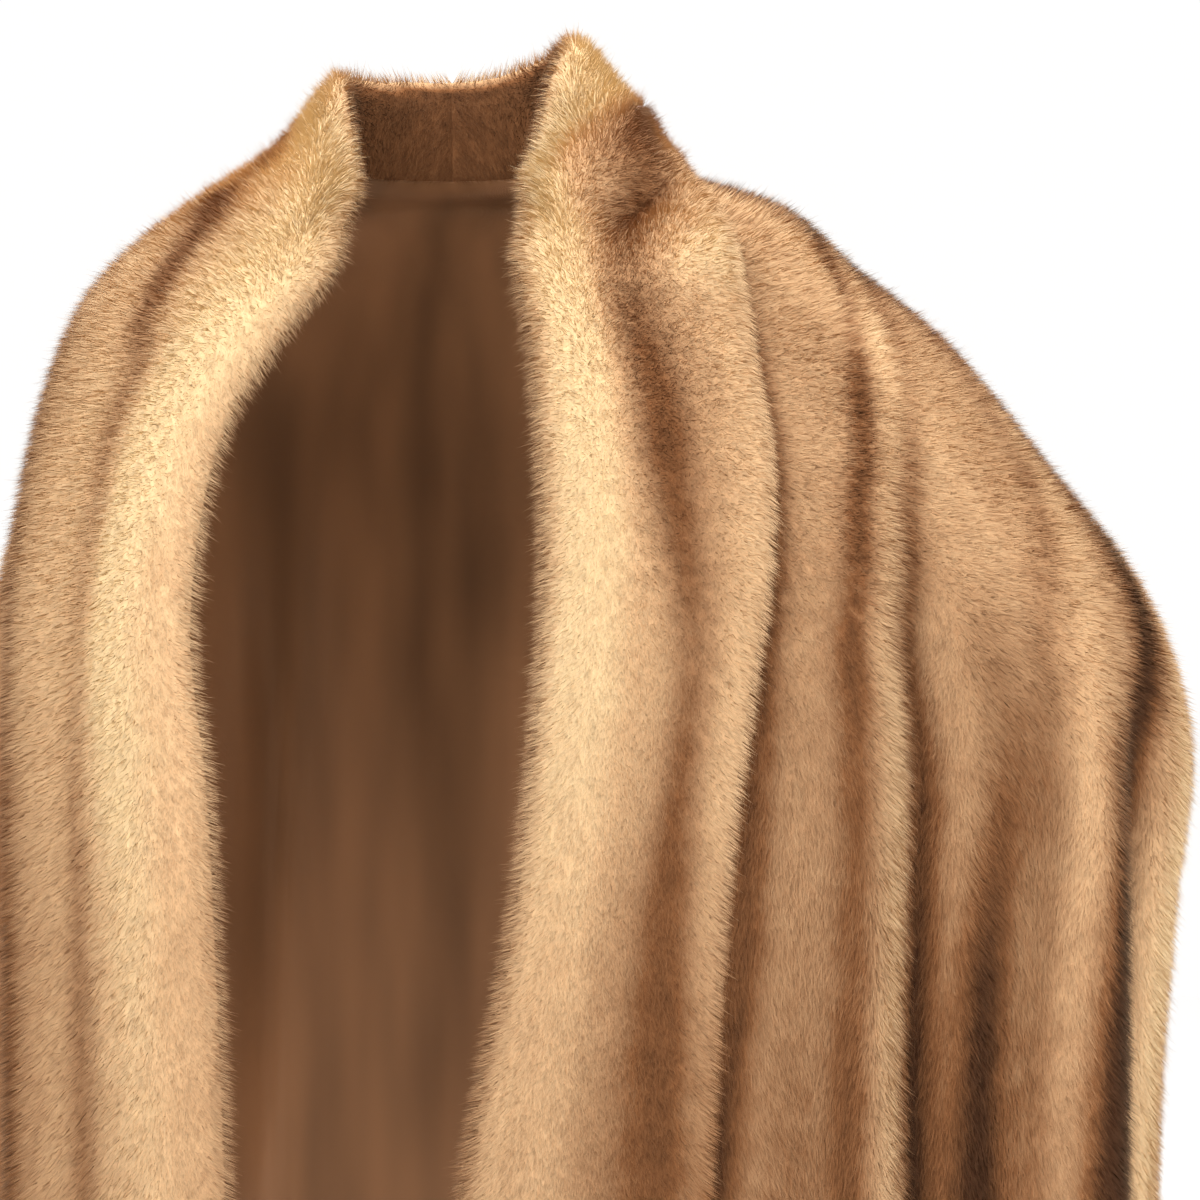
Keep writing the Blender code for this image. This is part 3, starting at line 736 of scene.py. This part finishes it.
SHEETS = {}


def sheet_of(name):
    """The sheet of a piece, worked out once."""
    if name not in SHEETS:
        SHEETS[name] = body_sheet(name) if name.startswith("body") else collar_sheet(name)
    return SHEETS[name]


def leather(name, sheet, thickness):
    """A sheet of leather with its lining, from a plane's grid laid over the points. A grid's faces
    point along across x down, so one whose outside is the other way is turned."""
    rows, columns = sheet.points.shape[:2]
    mesh = bmesh.new()
    bmesh.ops.create_grid(
        mesh, x_segments=columns - 1, y_segments=rows - 1, size=1.0, calc_uvs=True
    )
    layer = mesh.verts.layers.float.new("tone")
    for vertex in mesh.verts:
        j = round((vertex.co.x + 1) / 2 * (columns - 1))
        i = round((vertex.co.y + 1) / 2 * (rows - 1))
        vertex.co = Vector(sheet.points[i, j])
        vertex[layer] = sheet.tone[i, j]
    if sheet.towards > 0:
        bmesh.ops.reverse_faces(mesh, faces=mesh.faces)
    data = bpy.data.meshes.new(name)
    mesh.to_mesh(data)
    mesh.free()
    data.shade_smooth()
    piece = bpy.data.objects.new(name, data)
    bpy.context.scene.collection.objects.link(piece)
    solid = piece.modifiers.new("leather_and_lining", "SOLIDIFY")
    solid.thickness = thickness
    solid.offset = -1.0
    solid.material_offset = 1
    solid.material_offset_rim = 0
    return piece


def at_roots(grid, row, col):
    """Values of a grid at places between its points."""
    i, j = np.floor(row).astype(int), np.floor(col).astype(int)
    a, b = row - i, col - j
    if grid.ndim == 3:
        a, b = a[:, None], b[:, None]
    upper = grid[i, j] * (1 - b) + grid[i, j + 1] * b
    lower = grid[i + 1, j] * (1 - b) + grid[i + 1, j + 1] * b
    return upper * (1 - a) + lower * a


def unit(vectors):
    return vectors / np.maximum(np.linalg.norm(vectors, axis=-1, keepdims=True), 1e-9)


def root_places(sheet, count, first, last, rng):
    """Rows and columns of strand roots, spread by area and density."""
    points, density = sheet.points, sheet.density
    side = np.linalg.norm(points[:-1, 1:] - points[:-1, :-1], axis=-1)
    fall = np.linalg.norm(points[1:, :-1] - points[:-1, :-1], axis=-1)
    area = side * fall * density[:-1, :-1]
    share = (np.arange(area.shape[1]) + 0.5) / area.shape[1]
    area = area * ((share >= first) & (share < last))[None, :]
    total = np.cumsum(area.ravel())
    cell = np.searchsorted(total, (np.arange(count) + rng.random(count)) / count * total[-1])
    i, j = np.divmod(np.minimum(cell, area.size - 1), area.shape[1])
    return i + rng.random(count), j + rng.random(count)


def locks(sheet, row, col, seed):
    """Each strand's lock, as five random numbers, and its way to the lock's tip."""
    rows, columns = sheet.points.shape[:2]
    wide = np.linalg.norm(np.diff(sheet.points, axis=1), axis=-1).sum(axis=1).mean() / columns
    tall = np.linalg.norm(np.diff(sheet.points, axis=0), axis=-1).sum(axis=0).mean() / rows
    u, v = col * wide / LOCK_WIDTH, row * tall / LOCK_LENGTH
    u = u + 0.5 * (np.floor(v) % 2)
    lock_i, lock_j = np.floor(v).astype(int), np.floor(u).astype(int)
    cells = (lock_i.max() + 1, lock_j.max() + 1, 5)
    lock = np.random.default_rng(seed + LOCK_SEED).random(cells)[lock_i, lock_j]
    off_u = (lock_j + LOCK_MARGIN + LOCK_ROOM * lock[:, 0] - u) * LOCK_WIDTH
    off_v = (lock_i + LOCK_MARGIN + LOCK_ROOM * lock[:, 1] - v) * LOCK_LENGTH
    return lock, off_u, off_v


def strands(name, sheet, count, first, last, looks, seed):
    """One piece of fur: thin tapered blades in locks, combed down from their roots."""
    rng = np.random.default_rng(seed)
    row, col = root_places(sheet, count, first, last, rng)
    root = at_roots(sheet.points, row, col)
    normal = unit(at_roots(sheet.normal, row, col))
    down = unit(at_roots(sheet.down, row, col))
    across = unit(at_roots(sheet.across, row, col))
    tone = at_roots(sheet.tone, row, col)
    lift, fan = np.radians(at_roots(sheet.lift, row, col)), at_roots(sheet.fan, row, col)
    reach = at_roots(sheet.strand, row, col) * looks.strand_scale
    lock, off_u, off_v = locks(sheet, row, col, seed)

    lift = lift + (lock[:, 2] - 0.5) * 2 * LOCK_TURN + rng.normal(0, STRAND_TURN, count)
    side = (lock[:, 3] - 0.5) * 2 * LOCK_TURN + rng.normal(0, STRAND_TURN, count)
    way = (
        normal * np.cos(lift)[:, None]
        + (down + across * fan[:, None]) * np.sin(lift)[:, None]
        + across * np.sin(side)[:, None]
    )
    reach = reach * (LOCK_SHORTEST + LOCK_LONGER * lock[:, 4])
    reach = reach * rng.uniform(*STRAND_LENGTHS, count)
    guard = rng.random(count) < GUARD_SHARE
    reach = reach * np.where(guard, GUARD_LENGTH, 1.0)
    tip = root + unit(way) * reach[:, None]
    tip = tip + (across * off_u[:, None] + down * off_v[:, None]) * LOCK_PULL
    way = unit(tip - root)
    spin = rng.normal(size=(count, 3))
    half = unit(np.cross(way, spin)) * looks.strand_width / 2
    root = root - normal * ROOT_DEPTH
    blade = np.stack([root - half, root + half, tip], axis=1)
    facing = np.cross(blade[:, 1] - blade[:, 0], blade[:, 2] - blade[:, 0])
    turned = (facing * normal).sum(axis=1) < 0
    blade[turned] = blade[turned][:, [1, 0, 2]]

    rows, columns = sheet.points.shape[:2]
    spread = np.stack([col / (columns - 1), row / (rows - 1)], axis=-1)
    values = {"tone": tone, "lock": lock[:, 4], "chance": rng.random(count)}
    return fur_piece(name, blade, normal, spread, values)


def fur_piece(name, blade, normal, spread, values):
    """The object of a piece of fur, a triangle a strand, shaded with the leather's direction."""
    data = bpy.data.meshes.new(name)
    data.from_pydata(blade.reshape(-1, 3), [], np.arange(3 * len(blade)).reshape(-1, 3))
    put(data, "along", np.tile([0.0, 0.0, 1.0], len(blade)))
    for key, value in values.items():
        put(data, key, np.repeat(value, 3))
    spread = np.clip(spread[:, None] * BAKE_SPAN + BAKE_START + np.array(BAKE_BLADE), 0.0, 1.0)
    layer = data.uv_layers.new(name="OFBake")
    layer.uv.foreach_set("vector", spread.astype(np.float32).ravel())
    data.shade_smooth()
    data.normals_split_custom_set_from_vertices(np.repeat(normal, 3, axis=0))
    piece = bpy.data.objects.new(name, data)
    bpy.context.scene.collection.objects.link(piece)
    return piece


def put(data, name, values):
    """A number for each point of a mesh."""
    layer = data.attributes.new(name, "FLOAT", "POINT")
    layer.data.foreach_set("value", np.ascontiguousarray(values, np.float32))


def link(tree, source, target):
    tree.links.new(source, target)


def fur_colour_group():
    """Colour of fur from its tone, the way along a strand, its lock and chance, with partly painted
    highlight at the tips and partly painted shade at the roots.
    """
    if "fur_colour" in bpy.data.node_groups:
        return bpy.data.node_groups["fur_colour"]
    group = bpy.data.node_groups.new("fur_colour", "ShaderNodeTree")
    for name, value in (("Tone", 0.0), ("Along", 1.0), ("Lock", 0.5), ("Chance", 0.5)):
        group.interface.new_socket(name, in_out="INPUT", socket_type="NodeSocketFloat")
        group.interface.items_tree[name].default_value = value
    for name in FUR_SHADES:
        group.interface.new_socket(name, in_out="INPUT", socket_type="NodeSocketColor")
    group.interface.new_socket("Color", in_out="OUTPUT", socket_type="NodeSocketColor")
    given = group.nodes.new("NodeGroupInput")
    result = group.nodes.new("NodeGroupOutput")

    spot = group.nodes.new("ShaderNodeTexCoord")
    patches = group.nodes.new("ShaderNodeTexNoise")
    patches.inputs["Scale"].default_value = PATCH_SCALE
    patches.inputs["Detail"].default_value = PATCH_DETAIL
    link(group, spot.outputs["Object"], patches.inputs["Vector"])
    tone = given.outputs["Tone"]
    for source, span in (
        (patches.outputs[0], PATCH_TONES),
        (given.outputs["Lock"], LOCK_TONES),
        (given.outputs["Chance"], STRAND_TONES),
    ):
        change = number(group, "MULTIPLY_ADD", source, span, -span / 2)
        tone = number(group, "ADD", tone, change)

    colour = given.outputs["Pale"]
    steps = (("Honey", -1.0, -0.5), ("Tan", -0.5, 0.0), ("Brown", 0.0, 0.5), ("Dark", 0.5, 1.0))
    for name, low, high in steps:
        share = group.nodes.new("ShaderNodeMapRange")
        share.inputs["From Min"].default_value = low
        share.inputs["From Max"].default_value = high
        link(group, tone, share.inputs["Value"])
        colour = blend(group, "MIX", share.outputs["Result"], colour, given.outputs[name])
    # partly painted highlight: the tips are mixed towards Pale
    tips = number(group, "POWER", given.outputs["Along"], TIP_POWER)
    tips = number(group, "MULTIPLY", tips, TIP_PALENESS_AND_HIGHLIGHT)
    colour = blend(group, "MIX", tips, colour, given.outputs["Pale"])
    # partly painted shade: the roots keep only part of their colour, as does the wool
    deep = number(group, "MAXIMUM", given.outputs["Along"], 0.0)
    deep = number(group, "MULTIPLY_ADD", deep, 1 - ROOT_SHADE, ROOT_SHADE)
    shade = group.nodes.new("ShaderNodeCombineColor")
    for socket in ("Red", "Green", "Blue"):
        link(group, deep, shade.inputs[socket])
    colour = blend(group, "MULTIPLY", 1.0, colour, shade.outputs["Color"])
    link(group, colour, result.inputs["Color"])
    return group


def number(tree, operation, first, second, third=None):
    node = tree.nodes.new("ShaderNodeMath")
    node.operation = operation
    for socket, value in zip(node.inputs, (first, second, third)):
        if isinstance(value, (int, float)):
            socket.default_value = value
        elif value is not None:
            link(tree, value, socket)
    return node.outputs["Value"]


def blend(tree, kind, share, first, second):
    node = tree.nodes.new("ShaderNodeMix")
    node.data_type = "RGBA"
    node.blend_type = kind
    node.clamp_factor = True
    if isinstance(share, float):
        node.inputs[0].default_value = share
    else:
        link(tree, share, node.inputs[0])
    link(tree, first, node.inputs[6])
    link(tree, second, node.inputs[7])
    return node.outputs[2]


def start_material(name):
    """A new material with its node tree and its Principled BSDF."""
    made = bpy.data.materials.new(name)
    made.use_nodes = True
    return made, made.node_tree, made.node_tree.nodes["Principled BSDF"]


def attribute(tree, name):
    node = tree.nodes.new("ShaderNodeAttribute")
    node.attribute_name = name
    return node.outputs["Fac"]


def fur_shader(tree, colours):
    """The fur colour group with this garment's colours set on it."""
    node = tree.nodes.new("ShaderNodeGroup")
    node.node_tree = fur_colour_group()
    for name in FUR_SHADES:
        node.inputs[name].default_value = (*getattr(colours, name.lower()), 1.0)
    link(tree, attribute(tree, "tone"), node.inputs["Tone"])
    return node


def strand_material(colours):
    if "fur_strands" in bpy.data.materials:
        return bpy.data.materials["fur_strands"]
    made, tree, shader = start_material("fur_strands")
    node = fur_shader(tree, colours)
    for name in ("along", "lock", "chance"):
        link(tree, attribute(tree, name), node.inputs[name.title()])
    link(tree, node.outputs["Color"], shader.inputs["Base Color"])
    shader.inputs["Roughness"].default_value = 0.60
    shader.inputs["Specular IOR Level"].default_value = 0.08
    shader.inputs["Sheen Weight"].default_value = 0.16
    shader.inputs["Sheen Roughness"].default_value = 0.45
    shader.inputs["Sheen Tint"].default_value = FUR_SHEEN_TINT
    return made


def underfur_material(colours):
    """The dense short wool at the roots, seen between the strands, darker partly as its own colour
    and partly as painted shade.
    """
    if "underfur" in bpy.data.materials:
        return bpy.data.materials["underfur"]
    made, tree, shader = start_material("underfur")
    node = fur_shader(tree, colours)
    wool = stretched_noise(tree, WOOL_SCALE)
    along = number(tree, "MULTIPLY_ADD", wool, WOOL_SPAN, WOOL_START)
    link(tree, along, node.inputs["Along"])
    link(tree, node.outputs["Color"], shader.inputs["Base Color"])
    shader.inputs["Roughness"].default_value = 0.9
    shader.inputs["Specular IOR Level"].default_value = 0.1
    raise_surface(tree, shader, wool, *WOOL_BUMP)
    return made


def stretched_noise(tree, scale):
    """Noise in the piece's own space with a scale along each axis."""
    spot = tree.nodes.new("ShaderNodeTexCoord")
    stretch = tree.nodes.new("ShaderNodeMapping")
    stretch.inputs["Scale"].default_value = scale
    noise = tree.nodes.new("ShaderNodeTexNoise")
    noise.inputs["Scale"].default_value = 1.0
    link(tree, spot.outputs["Object"], stretch.inputs["Vector"])
    link(tree, stretch.outputs["Vector"], noise.inputs["Vector"])
    return noise.outputs[0]


def raise_surface(tree, shader, height, strength, distance):
    bump = tree.nodes.new("ShaderNodeBump")
    bump.inputs["Strength"].default_value = strength
    bump.inputs["Distance"].default_value = distance
    link(tree, height, bump.inputs["Height"])
    link(tree, bump.outputs["Normal"], shader.inputs["Normal"])


def lining_material(colours):
    """Brown satin: a fine twill with soft puckers, and painted shade that darkens the puckers'
    hollows.
    """
    if "satin_lining" in bpy.data.materials:
        return bpy.data.materials["satin_lining"]
    made, tree, shader = start_material("satin_lining")
    spot = tree.nodes.new("ShaderNodeTexCoord")
    threads = tree.nodes.new("ShaderNodeTexWave")
    threads.bands_direction = "DIAGONAL"
    threads.inputs["Scale"].default_value = LINING_THREADS
    link(tree, spot.outputs["Object"], threads.inputs["Vector"])
    puckers = stretched_noise(tree, LINING_PUCKERS)
    # painted shade: the colour is darkened where the puckers are low
    pucker_shade_ramp = tree.nodes.new("ShaderNodeMapRange")
    pucker_shade_ramp.inputs["From Min"].default_value, pucker_shade_ramp.inputs["From Max"].default_value = PUCKER_RANGE
    pucker_shade_ramp.inputs["To Min"].default_value = PUCKER_SHADE
    link(tree, puckers, pucker_shade_ramp.inputs["Value"])
    mixed = tree.nodes.new("ShaderNodeMix")
    mixed.data_type = "RGBA"
    mixed.inputs[6].default_value = (0.0, 0.0, 0.0, 1.0)
    mixed.inputs[7].default_value = (*colours.lining, 1.0)
    link(tree, pucker_shade_ramp.outputs["Result"], mixed.inputs[0])
    link(tree, mixed.outputs[2], shader.inputs["Base Color"])
    height = number(tree, "MULTIPLY_ADD", threads.outputs[1], THREAD_HEIGHT, puckers)
    raise_surface(tree, shader, height, *LINING_BUMP)
    shader.inputs["Roughness"].default_value = 0.34
    shader.inputs["Specular IOR Level"].default_value = 0.35
    shader.inputs["Specular Tint"].default_value = LINING_TINT
    return made


def plain_material(name, colour, roughness):
    made, _, shader = start_material(name)
    shader.inputs["Base Color"].default_value = (*colour, 1.0)
    shader.inputs["Roughness"].default_value = roughness
    return made


class StoleSizes(bpy.types.PropertyGroup):
    thickness: bpy.props.FloatProperty(
        name="Leather and lining",
        description="Thickness of the leather with its lining",
        default=0.0022,
        unit="LENGTH",
    )
    strand_width: bpy.props.FloatProperty(
        name="Strand width",
        description="Width of a strand of fur at its root",
        default=0.00034,
        unit="LENGTH",
        precision=5,
    )
    strand_scale: bpy.props.FloatProperty(
        name="Fur length", description="Length of the fur, 1 as worn", default=1.0
    )


def colour_property(name, description, default):
    return bpy.props.FloatVectorProperty(
        name=name, description=description, default=default, subtype="COLOR", min=0.0, max=1.0
    )


class StoleColours(bpy.types.PropertyGroup):
    pale: colour_property("Pale", "Palest fur, at the pelts' sides", (0.98, 0.74, 0.43))
    honey: colour_property("Honey", "Honey fur", (0.84, 0.555, 0.305))
    tan: colour_property("Tan", "Tan fur", (0.60, 0.345, 0.175))
    brown: colour_property("Brown", "Brown fur at the pelts' centres", (0.30, 0.118, 0.042))
    dark: colour_property("Dark", "Darkest fur", (0.070, 0.022, 0.007))
    lining: colour_property("Lining", "Satin lining", (0.30, 0.135, 0.058))
    floor: colour_property("Floor", "Floor", (0.94, 0.94, 0.94))


class STOLE_OT_leather(bpy.types.Operator):
    """Lay the leather and its satin lining over each panel of the body and half of the collar"""

    bl_idname = "stole.leather"
    bl_label = "Leather and lining"

    def execute(self, context):
        sizes, colours = context.scene.stole_sizes, context.scene.stole_colours
        for name in GRIDS:
            piece = leather("leather_" + name, sheet_of(name), sizes.thickness)
            piece.data.materials.append(underfur_material(colours))
            piece.data.materials.append(lining_material(colours))
            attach(piece, "root")
            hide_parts(name)
        return {"FINISHED"}


class STOLE_OT_fur(bpy.types.Operator):
    """Grow the strands of fur on the leather"""

    bl_idname = "stole.fur"
    bl_label = "Fur"

    def execute(self, context):
        sizes, colours = context.scene.stole_sizes, context.scene.stole_colours
        grown = {name: [] for name in GRIDS}
        for order, (name, row) in enumerate(FUR_PIECES.items()):
            panel, count, first, last = row
            piece = strands(name, sheet_of(panel), count, first, last, sizes, SEED + order)
            piece.data.materials.append(strand_material(colours))
            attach(piece, "root")
            grown[panel].append(piece)
        return {"FINISHED"}


class STOLE_OT_stage(bpy.types.Operator):
    """Set the pale floor, the soft lights and the camera"""

    bl_idname = "stole.stage"
    bl_label = "Stage"

    def execute(self, context):
        scene = context.scene
        lay_floor(plain_material("paper", scene.stole_colours.floor, FLOOR_ROUGHNESS))
        for row in LIGHTS:
            light(*row)
        world = bpy.data.worlds.new("studio")
        world.use_nodes = True
        background = world.node_tree.nodes["Background"]
        background.inputs["Color"].default_value = WORLD_COLOUR
        background.inputs["Strength"].default_value = WORLD_STRENGTH
        scene.world = world
        data = bpy.data.cameras.new("camera")
        data.lens = CAMERA_LENS
        data.sensor_width = CAMERA_SENSOR
        camera = bpy.data.objects.new("camera", data)
        camera.location = CAMERA_PLACE
        camera.rotation_euler = (np.pi / 2, 0.0, 0.0)
        scene.collection.objects.link(camera)
        scene.camera = camera
        scene.view_settings.view_transform = "Standard"
        return {"FINISHED"}


def lay_floor(paper):
    """A wide plain floor under the garment."""
    mesh = bmesh.new()
    bmesh.ops.create_circle(mesh, cap_ends=True, segments=FLOOR_SIDES, radius=FLOOR_RADIUS)
    bmesh.ops.translate(mesh, verts=mesh.verts, vec=(0.0, 0.0, FLOOR_LEVEL))
    data = bpy.data.meshes.new("floor")
    mesh.to_mesh(data)
    mesh.free()
    data.materials.append(paper)
    piece = bpy.data.objects.new("floor", data)
    bpy.context.scene.collection.objects.link(piece)


def light(name, at, aim, width, power):
    """A square lamp that faces a point."""
    data = bpy.data.lights.new(name, "AREA")
    data.shape = "SQUARE"
    data.size = width
    data.energy = power
    made = bpy.data.objects.new(name, data)
    made.location = at
    made.rotation_euler = (Vector(aim) - Vector(at)).to_track_quat("-Z", "Y").to_euler()
    bpy.context.scene.collection.objects.link(made)


class STOLE_PT_panel(bpy.types.Panel):
    """The stole's sizes, colours and steps"""

    bl_idname = "STOLE_PT_panel"
    bl_label = "Stole"
    bl_space_type = "VIEW_3D"
    bl_region_type = "UI"
    bl_category = "Stole"

    def draw(self, context):
        for group in (context.scene.stole_sizes, context.scene.stole_colours):
            for name in group.__annotations__:
                self.layout.prop(group, name)
        for step in STEPS:
            self.layout.operator(step.bl_idname)


GROUPS = (StoleSizes, StoleColours)
STEPS = (STOLE_OT_stage, STOLE_OT_leather, STOLE_OT_fur)


def register():
    for made in (*GROUPS, *STEPS, STOLE_PT_panel):
        bpy.utils.register_class(made)
    bpy.types.Scene.stole_sizes = bpy.props.PointerProperty(type=StoleSizes)
    bpy.types.Scene.stole_colours = bpy.props.PointerProperty(type=StoleColours)


def unregister():
    del bpy.types.Scene.stole_sizes, bpy.types.Scene.stole_colours
    for made in (STOLE_PT_panel, *reversed(STEPS), *reversed(GROUPS)):
        bpy.utils.unregister_class(made)


def main():
    register()
    bpy.ops.stole.stage()
    bpy.ops.stole.leather()
    bpy.ops.stole.fur()


if __name__ == "__main__":
    main()
